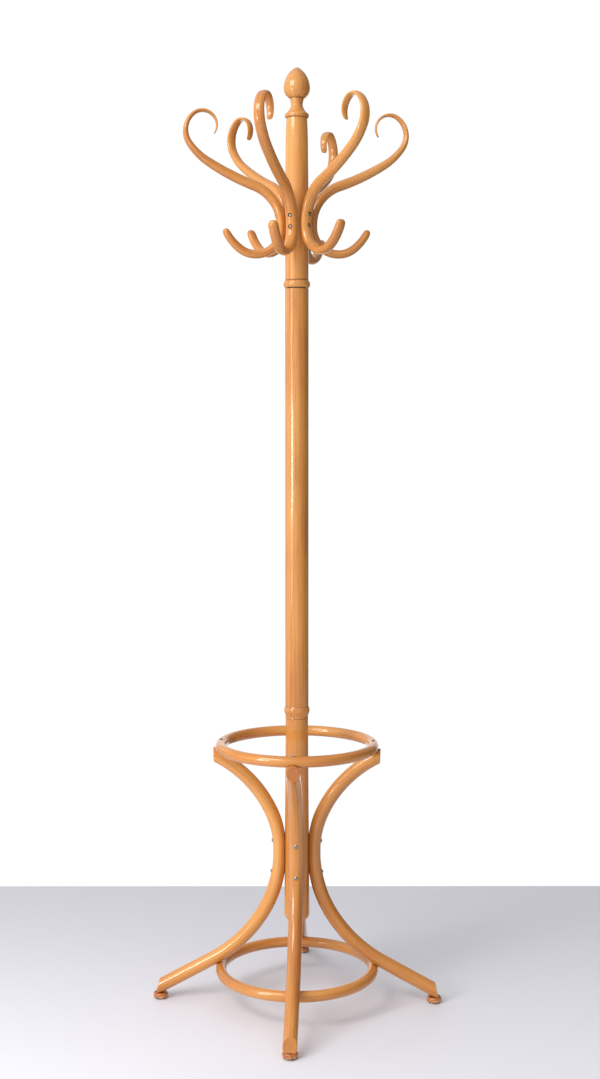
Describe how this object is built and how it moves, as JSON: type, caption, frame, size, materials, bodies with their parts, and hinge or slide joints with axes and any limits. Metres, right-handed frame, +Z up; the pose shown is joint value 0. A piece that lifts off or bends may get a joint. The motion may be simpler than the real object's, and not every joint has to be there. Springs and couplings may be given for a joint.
{
  "type": "standing coat rack",
  "caption": "Bentwood coat stand: turned post with a revolving head of double S-shaped hooks and an egg finial, over splayed bent legs with an umbrella ring and a foot ring.",
  "frame": {"origin": "on the floor, under the middle of the post", "axes": "+Z up along the post; the legs lie along +X, +Y, -X and -Y, and the front leg along -Y"},
  "size_m": [0.598, 0.598, 1.9],
  "materials": {
    "turned_beech": "semi-gloss lacquer",
    "bent_beech": "semi-gloss lacquer",
    "foot_beech": "worn lacquer",
    "screw_steel": "zinc plated",
    "pin_steel": "bright drawn",
    "washer_nylon": "satin"
  },
  "bodies": {
    "base": {"mid_post": "turned_beech", "lower_post": "turned_beech", "front_leg": "bent_beech", "right_leg": "bent_beech", "back_leg": "bent_beech", "left_leg": "bent_beech", "umbrella_ring": "bent_beech", "foot_ring": "bent_beech", "front_foot": "foot_beech", "right_foot": "foot_beech", "back_foot": "foot_beech", "left_foot": "foot_beech", "leg_screws": "screw_steel", "umbrella_ring_screws": "screw_steel", "foot_ring_screws": "screw_steel", "foot_screws": "screw_steel", "spindle": "pin_steel", "post_stud": "pin_steel", "thrust_washer": "washer_nylon"},
    "head": {"head_post": "turned_beech", "finial": "turned_beech", "hook_screws": "screw_steel", "hook_1": "bent_beech", "hook_2": "bent_beech", "hook_3": "bent_beech", "hook_4": "bent_beech", "hook_5": "bent_beech", "hook_6": "bent_beech"}
  },
  "joints": [
    {"name": "head_turn", "type": "hinge", "parent": "base", "child": "head", "pos_m": [0, 0, 1.464], "axis": [0, 0, 1], "continuous": true}
  ]
}
